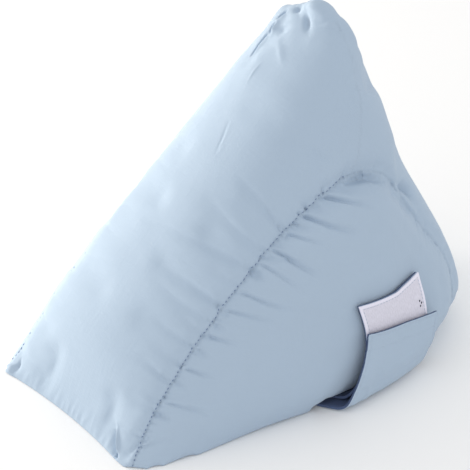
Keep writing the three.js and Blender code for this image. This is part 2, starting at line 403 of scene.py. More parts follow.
@dataclass(frozen=True)
class Finish:
    """What every cloth finish has: a colour, its uneven tone, its relief and its roughness.

    clouds is the scale of its patches of uneven tone, and contrast how far the tone may go from
    the colour. bump and bump_height are the strength and the height of the relief.
    """

    name: str
    colour: tuple[float, float, float]
    unevenness: float
    roughness: float
    sheen: float
    clouds: float = 18.0
    contrast: float = 0.2
    bump: float = 0.35
    bump_height: float = 0.4 * MM
    gloss: float = 0.25

    def relief(self, graph: Graph, flat: Socket) -> Socket:
        """Height of the surface's texture, in the unit of its bump."""
        raise NotImplementedError

    def tone(self, graph: Graph, flat: Socket) -> Socket:
        """Works out how light the cloth is at a place.

        Args:
            graph: the material's graph.
            flat: not used.

        Returns:
            The tone, with 0.5 for the plain colour.
        """
        where = graph.node("ShaderNodeTexCoord", {}, {})["Object"]
        cloud = graph.node(
            "ShaderNodeTexNoise", {}, {"Vector": where, "Scale": self.clouds, "Detail": 3.0}
        )
        return (cloud["Fac"] - 0.5) * self.unevenness + 0.5

    def material(self) -> bpy.types.Material:
        """Makes the material of the finish, once.

        Returns:
            The material.
        """
        known = bpy.data.materials.get(self.name)
        if known is not None:
            return known
        graph = Graph(self.name)
        flat = graph.node("ShaderNodeUVMap", {"uv_map": "cloth"}, {})["UV"]
        dark = (*(c * (1 - self.contrast) for c in self.colour), 1.0)
        light = (*(min(c * (1 + self.contrast), 1.0) for c in self.colour), 1.0)
        ramp = graph.node(
            "ShaderNodeValToRGB",
            {"stops": ((0.0, dark), (1.0, light))},
            {"Fac": self.tone(graph, flat)},
        )
        bump = graph.node(
            "ShaderNodeBump",
            {},
            {
                "Height": self.relief(graph, flat),
                "Strength": self.bump,
                "Distance": self.bump_height,
            },
        )
        shader = graph.node(
            "ShaderNodeBsdfPrincipled",
            {},
            {
                "Base Color": ramp["Color"],
                "Roughness": self.roughness,
                "Sheen Weight": self.sheen,
                "Specular IOR Level": self.gloss,
                "Normal": bump["Normal"],
            },
        )
        graph.node("ShaderNodeOutputMaterial", {}, {"Surface": shader["BSDF"]})
        return graph.material


@dataclass(frozen=True)
class Cotton(Finish):
    """Plain-woven cotton, matte, with slubs in both thread directions.

    weave is the height of the threads against that of the slubs, and stretch is the width of a
    slub against its length.
    """

    pitch: float = 0.6 * MM
    slub: float = 2.2 * MM
    weave: float = 0.3
    stretch: float = 0.12

    def relief(self, graph: Graph, flat: Socket) -> Socket:
        """Lays threads over and under, with thicker threads here and there.

        Args:
            graph: the material's graph.
            flat: the place on the cloth's flat map.

        Returns:
            The height of the threads.
        """
        split = graph.node("ShaderNodeSeparateXYZ", {}, {"Vector": flat})
        turn = math.pi / self.pitch
        total = (split["X"] * turn).sine() * (split["Y"] * turn).sine() * self.weave
        for stretch in ((1.0, self.stretch, 1.0), (self.stretch, 1.0, 1.0)):
            laid = graph.node(
                "ShaderNodeMapping", {}, {"Vector": flat, "Scale": tuple(s / self.slub for s in stretch)}
            )
            total = total + graph.node(
                "ShaderNodeTexNoise", {}, {"Vector": laid["Vector"], "Scale": 1.0, "Detail": 2.0}
            )["Fac"]
        return total


@dataclass(frozen=True)
class LoopPile(Finish):
    """Short brushed loops in rows, between woven edges that are smoother and lighter."""

    row: float = 1.1 * MM
    width: float = 62.5 * MM
    length: float = 45.1 * MM
    border: float = 2.2 * MM
    stretch: float = 0.35
    edge_light: float = 0.45
    loop_height: float = 2.5

    def woven_edge(self, graph: Graph, flat: Socket) -> Socket:
        """Finds the woven edges of the tape.

        Args:
            graph: the material's graph.
            flat: the place on the tape's flat map.

        Returns:
            1 on the edges, 0 on the loops.
        """
        split = graph.node("ShaderNodeSeparateXYZ", {}, {"Vector": flat})
        beside = split["X"].distance(self.width / 2).above(self.width / 2 - self.border)
        above = split["Y"].distance(self.length / 2).above(self.length / 2 - self.border)
        return beside.larger(above)

    def loops(self, graph: Graph, flat: Socket) -> Socket:
        """Lays uneven rows of loops.

        Args:
            graph: the material's graph.
            flat: the place on the tape's flat map.

        Returns:
            How far the loops stand up, from 0 to 1.
        """
        scale = (1 / self.row, self.stretch / self.row, 1.0)
        laid = graph.node("ShaderNodeMapping", {}, {"Vector": flat, "Scale": scale})
        return graph.node(
            "ShaderNodeTexNoise", {}, {"Vector": laid["Vector"], "Scale": 1.0, "Detail": 4.0}
        )["Fac"]

    def tone(self, graph: Graph, flat: Socket) -> Socket:
        """Works out the tone of the tape, with uneven loops and light edges.

        Args:
            graph: the material's graph.
            flat: the place on the tape's flat map.

        Returns:
            The tone, with 0.5 for the plain colour.
        """
        edge = self.woven_edge(graph, flat)
        uneven = (self.loops(graph, flat) - 0.5) * self.unevenness
        return uneven * (1 - edge) + 0.5 + edge * self.edge_light

    def relief(self, graph: Graph, flat: Socket) -> Socket:
        """Loops that stand up, and smooth edges."""
        return self.loops(graph, flat) * (1 - self.woven_edge(graph, flat)) * self.loop_height


COTTON = Cotton("pale blue cotton", (0.405, 0.505, 0.625), 0.12, 0.86, 0.12)
# painted shade: a dark navy cotton standing in for the deep shade on the straps' inner faces and in the
# gap between the straps and the cushion
PAINTED_SHADE_COTTON = Cotton("cotton with painted shade", (0.07, 0.10, 0.19), 0.12, 0.9, 0.05)
LOOPS = LoopPile("lavender loop pile", (0.68, 0.67, 0.77), 0.8, 0.95, 0.3)
# seam thread: its darker blue is partly the thread's own colour and partly painted shade of the stitch
# holes where it dips into the cloth
SEAM_THREAD_WITH_PAINTED_SHADE = Cotton("blue sewing thread with painted shade", (0.165, 0.225, 0.365), 0.2, 0.8, 0.1)
PALE_THREAD = Cotton("pale sewing thread", (0.45, 0.515, 0.635), 0.2, 0.8, 0.1)
DARK_THREAD = Cotton("dark sewing thread", (0.03, 0.035, 0.06), 0.2, 0.8, 0.1)


@dataclass
class StitchRow:
    """Rows of stitches, each a short length of thread that lies half sunk in the cloth.

    lift is how far a stitch's middle stands out, as a share of its thickness. No stitch is laid
    below the level of floor.
    """

    name: str
    pitch: float = 3.4 * MM
    length: float = 1.7 * MM
    thick: float = 0.75 * MM
    lift: float = 0.2
    inset: float = 0.9 * MM
    floor: float = 1.5 * MM
    finish: Finish = SEAM_THREAD_WITH_PAINTED_SHADE
    shape: bmesh.types.BMesh = field(init=False)

    def __post_init__(self) -> None:
        """Starts with no stitch."""
        self.shape = bmesh.new()

    def stitch(self, spot: Vector, way: Vector, out: Vector) -> None:
        """Adds one stitch.

        Args:
            spot: its middle, on the cloth.
            way: the direction in which it is sewn.
            out: the way out of the cloth.
        """
        across = out.cross(way).normalized()
        way = across.cross(out).normalized()
        turn = Matrix((across, out, way)).transposed().to_4x4()
        size = Matrix.Diagonal((self.thick, self.thick, self.length, 1.0))
        bmesh.ops.create_uvsphere(
            self.shape,
            u_segments=8,
            v_segments=6,
            radius=0.5,
            matrix=Matrix.Translation(spot + out * self.thick * self.lift) @ turn @ size,
        )

    def sew(self, line: Route, ground: Callable[[np.ndarray], tuple[Vector, Vector]]) -> None:
        """Adds a row of stitches along a line.

        Args:
            line: the line.
            ground: gives the point of the cloth near a place, and the way out of it.
        """
        for i in range(int(line.length / self.pitch)):
            distance = (i + 0.5) * self.pitch
            spot, out = ground(line.at(distance))
            ahead = Vector(line.at(distance + self.length / 2) - line.at(distance - self.length / 2))
            if spot.z > self.floor:
                self.stitch(spot, ahead, out)

    def finish_piece(self) -> bpy.types.Object:
        """Makes one piece of all the stitches.

        Returns:
            The piece.
        """
        piece = new_piece(self.name, self.shape)
        shade_smooth(piece.data)
        dress(piece, self.finish)
        return piece


@dataclass(frozen=True)
class SectionRow:
    """One section of the wrap panel: its middle and its sewn edge, in millimetres."""

    along: float
    crown_y: float
    crown_z: float
    seam_x: float
    seam_y: float
    seam_z: float


SECTIONS = (
    SectionRow(0.0, 0, 0, 79, 6, 0),
    SectionRow(0.04, 9, 19, 78, 14, 15),
    SectionRow(0.12, 29, 60, 76, 38, 48),
    SectionRow(0.25, 86, 119, 74, 85, 95),
    SectionRow(0.4, 158, 193, 70, 139, 137),
    SectionRow(0.5, 204, 244, 68, 183, 160),
    SectionRow(0.56, 230, 267, 66, 214, 165),
    SectionRow(0.64, 252, 232, 65, 242, 151),
    SectionRow(0.75, 274, 153, 66, 267, 103),
    SectionRow(0.88, 305, 72, 71, 290, 65),
    SectionRow(0.95, 316, 27, 72, 297, 32),
    SectionRow(1.0, 313, 0, 70, 293, 0),
)


SHARP_WIDTH = 1.7
SHARP_STEEPNESS = 0.5


@dataclass(frozen=True)
class Crease:
    """A fold pressed into the cloth along a line of points, in millimetres.

    A depth below 0 raises it. A lip is the height of the cloth that stands up on one side of it,
    and steep is the share by which the fold is wider on that side and narrower on the other.
    """

    name: str
    points: tuple[tuple[float, float, float], ...]
    depth: float
    width: float
    lip: float = 0.0
    taper: Taper = Taper.BOTH
    steep: float = 0.35
    blunt_share: ClassVar[float] = 0.04
    bluntness: ClassVar[float] = 0.6
    start_strength: ClassVar[float] = 0.5
    start_share: ClassVar[float] = 0.2
    start_width: ClassVar[float] = 0.75
    widening: ClassVar[float] = 0.75
    lip_place: ClassVar[float] = 2.0

    @property
    def sharp(self) -> bool:
        """Whether it needs the finer mesh."""
        return self.width < SHARP_WIDTH or abs(self.steep) > SHARP_STEEPNESS

    def press(self, places: np.ndarray, normals: np.ndarray, line: Route) -> np.ndarray:
        """Works out how far the fold presses the cloth in.

        Args:
            places: points of the cloth, one a row.
            normals: the way out of the cloth at each.
            line: the fold's line in the model's frame.

        Returns:
            The depth at each point, in metres.
        """
        gap, along, feet = line.nearest(places)
        share = along / line.length
        way = line.points[-1] - line.points[0]
        side = np.sign(np.einsum("ij,ij->i", np.cross(way, places - feet), normals))
        width = self.width * MM * (1 + self.steep * side)
        if self.taper is Taper.BOTH:
            inner = np.clip(share, self.blunt_share, 1 - self.blunt_share)
            strength = np.sin(np.pi * inner) ** self.bluntness
        else:
            starting = np.minimum(1.0, self.start_strength + share / self.start_share)
            # a sharp fold stays deep for longer
            strength = (1 - share ** (2 if self.sharp else 1)) * starting
            width = width * (self.start_width + self.widening * share)
        trough = self.depth * np.exp(-((gap / width) ** 2))
        lip = self.lip * (side > 0) * np.exp(-(((gap - self.lip_place * width) / width) ** 2))
        return (trough - lip) * strength * MM


def folds_from_seam(kind: str, rows: Sequence[tuple[Any, ...]]) -> list[Crease]:
    """Makes the numbered folds of one kind, which start at the seam and run out.

    Args:
        kind: what they are called.
        rows: the points, the depth, the width and the lip of each.

    Returns:
        The folds.
    """
    return [Crease(f"{kind} {i}", *row, Taper.END) for i, row in enumerate(rows, 1)]


GUSSET_PUCKERS = (
    (((65, 182, 158), (73, 199, 151), (80, 222, 141)), 3.4, 1.6, 0.8),
    (((67, 164, 150), (79, 179, 141), (86, 203, 128)), 3.2, 1.6, 0.8),
    (((71, 151, 141), (79, 160, 137), (85, 174, 129)), 2.0, 1.3, 0.5),
    (((72, 138, 131), (82, 149, 121), (90, 165, 107)), 2.9, 1.5, 0.7),
    (((72, 128, 122), (84, 139, 112), (91, 151, 99)), 1.7, 1.3, 0.5),
    (((74, 109, 107), (84, 122, 99), (93, 142, 89)), 2.1, 1.4, 0.5),
    (((74, 96, 98), (84, 108, 93), (90, 124, 85)), 1.6, 1.3, 0.4),
    (((75, 78, 83), (82, 86, 80), (88, 96, 74)), 1.6, 1.3, 0.4),
    (((76, 57, 64), (82, 63, 61), (88, 73, 56)), 2.0, 1.4, 0.5),
    (((78, 39, 43), (86, 52, 37), (93, 67, 29)), 1.9, 1.5, 0.5),
)
WRAP_FOLDS = (
    (((66, 145, 145), (47, 139, 163), (18, 139, 172)), 2.6, 2.4, 0.6),
    (((67, 119, 120), (23, 100, 131), (-40, 93, 121)), 2.3, 3.4, 0.4),
    (((68, 91, 99), (41, 83, 110), (6, 79, 111)), 2.6, 2.8, 0.5),
    (((72, 68, 75), (54, 59, 83), (31, 56, 86)), 2.4, 2.2, 0.5),
    (((77, 32, 35), (67, 25, 40), (52, 21, 39)), 2.2, 2.0, 0.5),
    (((64, 186, 190), (46, 174, 195), (26, 162, 193)), 1.5, 4.4, 0.0),
    (((69, 130, 133), (46, 121, 143), (6, 122, 153)), 2.0, 3.2, 0.3),
    (((72, 84, 90), (50, 74, 97), (10, 70, 104)), 2.0, 3.2, 0.3),
    (((76, 49, 55), (62, 43, 58), (34, 38, 62)), 2.0, 2.0, 0.4),
)
CREASES = (
    Crease("hollow under the seam's top", ((62, 204, 160), (64, 222, 158), (65, 238, 149)), 5.0, 3.2),
    *folds_from_seam("gusset pucker", GUSSET_PUCKERS),
    *folds_from_seam("wrap fold", WRAP_FOLDS),
    Crease("slope crease", ((-13, 156, 190), (-9, 148, 182), (-6, 140, 174)), 0.4, 1.1, 0.15),
    Crease("top pleat 1", ((-33, 220, 252), (-35, 215, 246)), 3.4, 1.2, 0.9),
    Crease("top pleat 2", ((-34, 211, 243), (-32, 206, 237)), 4.0, 1.3, 1.0),
    Crease("top pleat 3", ((-34, 206, 236), (-35, 200, 230), (-35, 193, 222)), 3.6, 1.2, 1.1),
    Crease("ridge by the pleats", ((-33, 215, 247), (-30, 211, 243), (-28, 205, 238)), -1.3, 2.0),
    Crease("small ridge", ((-18, 189, 226), (-19, 183, 220), (-19, 177, 214)), -0.6, 0.9, 0.0),
    Crease("ridge down from the top", ((-16, 203, 240), (-9, 199, 237), (0, 194, 233)), -1.0, 2.6),
    Crease("top valley", ((-10, 223, 260), (-5, 219, 258), (2, 214, 254)), 2.8, 2.6, 0.6),
    Crease("hollow between the pleats", ((-24, 211, 247), (-18, 206, 243)), 2.2, 5.5),
    Crease("top notch", ((-26, 226, 256), (-19, 221, 257)), 4.4, 3.8),
    Crease("top tuft", ((-20, 227, 262), (12, 229, 263)), -6.5, 8.5),
    Crease("shoulder behind the top", ((8, 233, 265), (22, 237, 258), (31, 242, 246)), -4.0, 8.0),
    Crease("dip behind the neck", ((49, 233, 225), (39, 248, 217), (28, 259, 208)), 5.5, 9.5),
    Crease("fold behind the valley", ((5, 217, 258), (14, 223, 261), (24, 232, 260)), -0.8, 1.6),
    Crease(
        "ridge at the back seam", ((61, 250, 133), (60, 258, 121), (64, 276, 90), (73, 285, 68)), -2.2, 2.0
    ),
    Crease("hollow at the back seam", ((60, 254, 135), (60, 264, 127), (62, 268, 117)), 6.0, 3.6),
    Crease("fullness by the far corner", ((-40, 8, 13), (-37, 18, 31)), -1.3, 6.5),
    Crease("fullness by the near corner", ((31, 7, 13), (34, 17, 31)), -1.3, 6.5),
    Crease("corner hollow", ((47, 9, 18), (54, 5, 9), (60, 1, 1)), 3.4, 3.0, 1.9, steep=-0.6),
    Crease("corner slit", ((58, 3, 5), (61, 1, 1)), 5.0, 1.4),
    Crease("corner wrinkle", ((74, 14, 18), (70, 8, 10), (66, 3, 2)), 2.4, 1.9, 0.9, Taper.END),
    Crease("fold round the far corner", ((-68, 5, 14), (-66, 3, 8), (-65, 1, 1)), 1.8, 1.2),
    Crease("tuck in the far corner", ((-73, 1, 2), (-70, 0, 6)), 1.4, 0.9),
)


@dataclass
class Seam:
    """One sewn line of the cushion, and the way to the panel on either side of it."""

    route: Route
    to_wrap: np.ndarray
    to_gusset: np.ndarray

    def look(self, places: np.ndarray) -> tuple[np.ndarray, np.ndarray, np.ndarray]:
        """Finds how places lie to the seam.

        Args:
            places: points on the cloth, one a row.

        Returns:
            The distance from the seam, the distance along it, and the value of the Panel there.
        """
        gap, along, feet = self.route.nearest(places)
        way = places - feet
        reach = [
            sum(np.interp(along, self.route.lengths, table[:, k]) * way[:, k] for k in range(3))
            for table in (self.to_wrap, self.to_gusset)
        ]
        return gap, along, np.where(reach[0] > reach[1], Panel.WRAP.value, Panel.GUSSET.value)


@dataclass(frozen=True)
class Gathers:
    """Sizes of the puckers beside a seam. Each pair is the least and the most, in metres.

    slant is how far a pucker runs along the seam for each metre away from it. The puckers run out
    over the length of ending at both ends of the seam. A pucker starts at the share start_width of
    its width and grows by widening on its way out, while its depth falls to the power of falling.
    """

    apart: tuple[float, float]
    reach: tuple[float, float]
    width: tuple[float, float]
    depth: tuple[float, float]
    slant: tuple[float, float]
    ending: float = 8 * MM
    start_width: float = 0.75
    widening: float = 1.1
    falling: float = 1.3

    def press(
        self, draw: np.random.Generator, length: float, gap: np.ndarray, along: np.ndarray
    ) -> np.ndarray:
        """Works out how far the puckers press the cloth in.

        Args:
            draw: source of the uneven sizes.
            length: the seam's length.
            gap: each point's distance from the seam.
            along: each point's distance along the seam.

        Returns:
            The depth at each point.
        """
        depth = np.zeros(len(gap))
        place = 0.0
        while place < length:
            out = np.clip(gap / draw.uniform(*self.reach), 0.0, 1.0)
            spread = draw.uniform(*self.width) * (self.start_width + self.widening * out)
            size = draw.uniform(*self.depth)
            off = along - place - draw.uniform(*self.slant) * gap
            depth += size * (1 - out) ** self.falling * np.exp(-((off / spread) ** 2))
            place += draw.uniform(*self.apart)
        ends = fade(along, 0.0, self.ending) * (1 - fade(along, length - self.ending, length))
        return depth * ends


FINE_GATHERS = Gathers(
    (3.6 * MM, 7.5 * MM), (5 * MM, 15 * MM), (0.9 * MM, 1.5 * MM), (0.35 * MM, 1.1 * MM), (-0.3, 0.4)
)
WRAP_GATHERS = Gathers(
    (13 * MM, 30 * MM), (18 * MM, 48 * MM), (1.5 * MM, 2.7 * MM), (0.8 * MM, 2.2 * MM), (-0.3, 0.3)
)
GUSSET_GATHERS = Gathers(
    (12 * MM, 26 * MM), (14 * MM, 40 * MM), (1.4 * MM, 2.6 * MM), (0.8 * MM, 2.2 * MM), (0.1, 0.7)
)
FRONT_GATHERS = Gathers(
    (4 * MM, 8.5 * MM), (8 * MM, 20 * MM), (1.2 * MM, 2.0 * MM), (0.4 * MM, 1.0 * MM), (-0.15, 0.25)
)


FILLED_COTTON = {
    "quality": 6,
    "mass": 0.15,
    "tension_stiffness": 20,
    "compression_stiffness": 20,
    "shear_stiffness": 8,
    "bending_stiffness": 0.4,
    "air_damping": 2,
}


@dataclass
class Cushion:
    """The stuffed wedge: a wrap panel over slope and back, sewn to a gusset at each side.

    strap_zone is where the straps lie on the near side: from y, to y and up to z. Shares are
    without a unit. The places of belly, front_edge and ear_place are in millimetres.
    """

    node: bpy.types.Object
    grain: float = 3.9 * MM
    start_inset: float = 1.2 * MM
    pressure: float = 3.0
    frames: int = 20
    swell_cap: float = 5.0 * MM
    swell_by_straps: float = 0.4 * MM
    seam_hold: float = 4.2 * MM
    seam_search: float = 12.0 * MM
    seam_floor: float = 0.6 * MM
    look_from: float = 0.2
    base_hold: float = 2.0 * MM
    strap_zone: tuple[float, float, float] = (132 * MM, 268 * MM, 95 * MM)
    strap_margin: float = 25 * MM
    strap_side: float = 30 * MM
    belly: tuple[float, float, float] = (107, 180, 0)
    groove_depth: float = 1.3 * MM
    groove_width: float = 1.25 * MM
    ledge: float = 0.45 * MM
    ledge_reach: float = 3.75 * MM
    fine_reach: float = 5.0 * MM
    rumple: float = 0.45 * MM
    rumple_size: tuple[float, float, float] = (52 * MM, 19 * MM, 19 * MM)
    rumple_level: tuple[float, float] = (15 * MM, 70 * MM)
    floor_fade: float = 2 * MM
    fold_on_seam: float = 0.3
    fold_fade: tuple[float, float] = (0.5 * MM, 3.0 * MM)
    front_gathers_reach: float = 30 * MM
    smoothing: int = 4
    evening: int = 10
    far_gathers: float = 0.35
    far_inset: float = 2.4 * MM
    fold_start: float = 5.0 * MM
    sunk_seam: float = 0.35
    bow: float = 4.5 * MM
    bow_reach: float = 32 * MM
    top_of_arch: float = 0.555
    softening: tuple[float, float] = (-0.02, 0.08)
    front_edge: tuple[float, float, float] = (-66, 62, 3)
    ear_place: tuple[float, float, float] = (-69, 2, 4)
    ear_size: float = 5.5 * MM
    ear_pull: tuple[float, float, float] = (-4.2 * MM, -1.8 * MM, 0.4 * MM)
    seed: int = 7

    def __post_init__(self) -> None:
        """Finds the cushion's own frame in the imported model."""
        low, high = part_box(self.node.name)
        self.origin = np.array([(low[0] + high[0]) / 2, low[1], 0.0])

    def place(self, point: Sequence[float]) -> np.ndarray:
        """Place in the model's frame of a point in the cushion's own millimetres."""
        return self.origin + np.array(point, dtype=float) * MM

    def line(self, points: Sequence[Sequence[float]], side: Side = Side.NEAR) -> Route:
        """Line through points in the cushion's own millimetres, or its mirror image."""
        return Route(np.array([self.place((side.value * x, y, z)) for x, y, z in points]))

    def plan(self, columns: Sequence[str], side: Side, samples: int = 120) -> np.ndarray:
        """Line that three columns of the section table give, in the model's frame.

        Args:
            columns: names of the columns for x, y and z; x may be empty, for the middle plane.
            side: the side that it lies on.
            samples: how many points it has.

        Returns:
            The points, one a row.
        """
        rows = [
            [smooth_value(SECTIONS, name, share) if name else 0.0 for name in columns]
            for share in np.linspace(0.0, 1.0, samples)
        ]
        return self.line(rows, side).points

    def seam_on(self, mesh: bpy.types.Mesh, side: Side) -> Seam:
        """Finds the seam on a mesh, by looking at it square from its side.

        Args:
            mesh: the cushion's mesh.
            side: the side whose seam it is.

        Returns:
            The seam, with its line on the surface.
        """
        tree = surface_of(mesh)
        inward = Vector((-side.value, 0, 0))
        found = []
        for x, y, z in self.plan(("seam_x", "seam_y", "seam_z"), side):
            plan = Vector((x, y, max(z, self.seam_floor)))
            hit = tree.ray_cast(plan - inward * self.look_from, inward)[0]
            if hit is None or abs(hit.x - plan.x) > self.seam_search:
                hit = tree.find_nearest(plan + inward * self.seam_search / 4)[0]
            found.append(hit)
        # smoothed, and carried on evenly past both ends so that these stay
        run = np.pad(found, ((self.smoothing, self.smoothing), (0, 0)), "reflect", reflect_type="odd")
        share = np.ones(2 * self.smoothing + 1) / (2 * self.smoothing + 1)
        route = Route(np.stack([np.convolve(run[:, k], share, "valid") for k in range(3)], axis=1))
        belly = self.place((side.value * self.belly[0], *self.belly[1:]))
        ways = [self.plan(("", "crown_y", "crown_z"), side) - route.points, belly - route.points]
        return Seam(route, *(way / np.linalg.norm(way, axis=1)[:, None] for way in ways))

    def fine_copy(self) -> bpy.types.Object:
        """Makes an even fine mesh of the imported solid.

        Returns:
            The piece that the cover is made from.
        """
        shape = bmesh.new()
        shape.from_mesh(self.node.data)
        bmesh.ops.remove_doubles(shape, verts=shape.verts, dist=0.01 * MM)
        piece = new_piece("cushion_cover", shape)
        remesh = piece.modifiers.new("even", "REMESH")
        remesh.mode = "VOXEL"
        remesh.voxel_size = self.grain
        remesh.use_smooth_shade = True
        settle_modifiers(piece)
        return piece

    def inflate(self, piece: bpy.types.Object, seams: Sequence[Seam]) -> None:
        """Fills the cushion: its cloth swells between the seams, which stay where they are.

        Args:
            piece: the cushion, which gets the filled shape.
            seams: its seams.
        """
        mesh = piece.data
        before = places_of(mesh)
        near = np.min([seam.route.nearest(before)[0] for seam in seams], axis=0)
        on_floor = 1.0 - fade(before[:, 2], self.base_hold, 2 * self.base_hold)
        held = np.maximum(on_floor, near < self.seam_hold)
        move_to(mesh, before - normals_of(mesh) * (self.start_inset * (1 - held))[:, None])

        holding = piece.vertex_groups.new(name="held")
        for i, hold in enumerate(held):
            holding.add([i], float(hold), "REPLACE")
        cloth = piece.modifiers.new("filling", "CLOTH")
        for name, value in FILLED_COTTON.items():
            setattr(cloth.settings, name, value)
        cloth.settings.use_pressure = True
        cloth.settings.uniform_pressure_force = self.pressure
        cloth.settings.vertex_group_mass = holding.name
        cloth.settings.effector_weights.gravity = 0.0
        cloth.point_cache.frame_start = 1
        cloth.point_cache.frame_end = self.frames
        scene = bpy.context.scene
        for frame_number in range(1, self.frames + 1):
            scene.frame_set(frame_number)
        settle_modifiers(piece)
        scene.frame_set(1)
        piece.vertex_groups.clear()
        swell = evened(piece.data, places_of(piece.data) - before, self.evening)
        move_to(piece.data, before + swell * (1 - on_floor)[:, None])
        self.limit(piece.data, before)

    def free_share(self, places: np.ndarray) -> np.ndarray:
        """Finds where the cloth lies free of the straps.

        Args:
            places: points of the cloth, one a row.

        Returns:
            1 where it lies free, down to 0 beside the straps.
        """
        front, back, top = self.strap_zone
        y = places[:, 1] - self.origin[1]
        beside = (
            fade(y, front - self.strap_margin, front)
            * (1 - fade(y, back, back + self.strap_margin))
            * (1 - fade(places[:, 2], top, top + self.strap_margin))
            * (places[:, 0] > self.origin[0] + self.strap_side)
        )
        return 1 - beside

    def limit(self, mesh: bpy.types.Mesh, before: np.ndarray) -> None:
        """Keeps the filled shape near its plan, on the floor, and clear of the straps.

        Args:
            mesh: the filled cushion's mesh.
            before: where its vertices were before it was filled.
        """
        move = places_of(mesh) - before
        size = np.linalg.norm(move, axis=1)
        free = self.free_share(before)
        cap = self.swell_cap * free + self.swell_by_straps * (1 - free)
        share = np.minimum(1.0, cap / np.maximum(size, 1e-9))
        move_above_floor(mesh, before + move * share[:, None])

    def refine(self, piece: bpy.types.Object, lines: Sequence[Route]) -> None:
        """Halves the mesh's grain smoothly, and once more near some lines.

        Args:
            piece: the cushion.
            lines: the lines that need the finer mesh.
        """
        finer = piece.modifiers.new("finer", "SUBSURF")
        finer.levels = finer.render_levels = 1
        settle_modifiers(piece)
        near = np.min([line.nearest(places_of(piece.data))[0] for line in lines], axis=0)
        close = near < self.fine_reach
        shape = bmesh.new()
        shape.from_mesh(piece.data)
        edges = [e for e in shape.edges if close[e.verts[0].index] and close[e.verts[1].index]]
        bmesh.ops.subdivide_edges(shape, edges=edges, cuts=1, use_grid_fill=True)
        shape.to_mesh(piece.data)
        shape.free()

    def press(self, mesh: bpy.types.Mesh, depth: np.ndarray) -> None:
        """Presses the cloth in, and keeps it on the floor.

        Args:
            mesh: the cushion's mesh.
            depth: how far it is pressed in at each vertex.
        """
        places = places_of(mesh)
        # depths below 0 raise the cloth, which stays clear of the straps and the floor
        depth = np.where(depth < 0, depth * self.free_share(places), depth)
        depth *= fade(places[:, 2], 0.0, self.floor_fade)
        move_above_floor(mesh, places - normals_of(mesh) * depth[:, None])

    def rumpled(self, places: np.ndarray) -> np.ndarray:
        """Soft unevenness of stuffed cloth, drawn out across the wrap."""
        spots = places / np.array(self.rumple_size)
        return self.rumple * np.array([noise.noise(Vector(spot)) for spot in spots])

    def sew(self, mesh: bpy.types.Mesh, seams: Sequence[Seam]) -> None:
        """Draws the cloth in along the seams and gathers it beside them.

        Args:
            mesh: the filled cushion's mesh.
            seams: its seams.
        """
        draw = np.random.default_rng(self.seed)
        places = places_of(mesh)
        depth = self.rumpled(places) * fade(places[:, 2], *self.rumple_level)
        for side, seam in zip(Side, seams):
            gap, along, panel = seam.look(places)
            # past the top of the arch the seam lies softer, with few gathers
            share = along / seam.route.length
            past = fade(share, *(self.top_of_arch + step for step in self.softening))
            taut = 1 - (1 - self.sunk_seam) * past
            full = taut * (1.0 if side is Side.NEAR else self.far_gathers)
            shelf = np.exp(-((gap / self.ledge_reach) ** 2)) * np.tanh(gap / self.groove_width)
            depth += self.groove_depth * taut * np.exp(-((gap / self.groove_width) ** 2))
            depth -= self.ledge * shelf * panel
            for part, wide in ((Panel.WRAP, WRAP_GATHERS), (Panel.GUSSET, GUSSET_GATHERS)):
                for kind in (FINE_GATHERS, wide):
                    pulled = kind.press(draw, seam.route.length, gap, along)
                    depth += pulled * full * (panel == part.value)
        start, end, level = self.front_edge
        front = self.line(((start, 0, level), (end, 0, level)))
        gap, along, _ = front.nearest(places)
        in_front = places[:, 1] < self.origin[1] + self.front_gathers_reach
        depth += FRONT_GATHERS.press(draw, front.length, gap, along) * in_front
        self.press(mesh, depth)

    def fold_line(self, fold: Crease, tree: BVHTree, samples: int = 9) -> Route:
        """Line of a fold, laid on the cloth.

        Args:
            fold: the fold.
            tree: the cloth's surface.
            samples: how many points the line gets.

        Returns:
            The line, on the surface.
        """
        plan = self.line(fold.points)
        if fold.taper is Taper.END:
            # carried on to the seam that it starts from
            back = plan.at(0.0) - plan.at(self.fold_start)
            plan = Route(np.vstack([plan.points[0] + back, plan.points]))
        spots = [plan.at(share * plan.length) for share in np.linspace(0.0, 1.0, samples)]
        return Route(np.array([tree.find_nearest(Vector(spot))[0] for spot in spots]))

    def crease(self, mesh: bpy.types.Mesh, seams: Sequence[Seam]) -> None:
        """Presses the folds of the table into the cloth, less so on the seams.

        Args:
            mesh: the cushion's mesh.
            seams: its seams.
        """
        places = places_of(mesh)
        normals = normals_of(mesh)
        tree = surface_of(mesh)
        depth = sum(fold.press(places, normals, self.fold_line(fold, tree)) for fold in CREASES)
        near = np.min([seam.route.nearest(places)[0] for seam in seams], axis=0)
        kept = self.fold_on_seam + (1 - self.fold_on_seam) * fade(near, *self.fold_fade)
        self.press(mesh, depth * kept)

    def draw_front_in(self, mesh: bpy.types.Mesh) -> None:
        """Draws the front edge in between its corners, as the filling does.

        Args:
            mesh: the cushion's mesh.
        """
        places = places_of(mesh)
        start, end, _ = self.front_edge
        middle, half = (start + end) / 2 * MM, (end - start) / 2 * MM
        share = np.clip((places[:, 0] - self.origin[0] - middle) / half, -1.0, 1.0)
        near = 1 - fade(places[:, 1] - self.origin[1], 0.0, self.bow_reach)
        places[:, 1] += self.bow * (1 - share**2) * near
        move_to(mesh, places)

    def pull_ear(self, mesh: bpy.types.Mesh) -> None:
        """Draws out the small knot of cloth where the far seam ends at the front.

        Args:
            mesh: the cushion's mesh.
        """
        places = places_of(mesh)
        off = np.linalg.norm(places - self.place(self.ear_place), axis=1) / self.ear_size
        move_above_floor(mesh, places + np.array(self.ear_pull) * np.exp(-(off**4))[:, None])

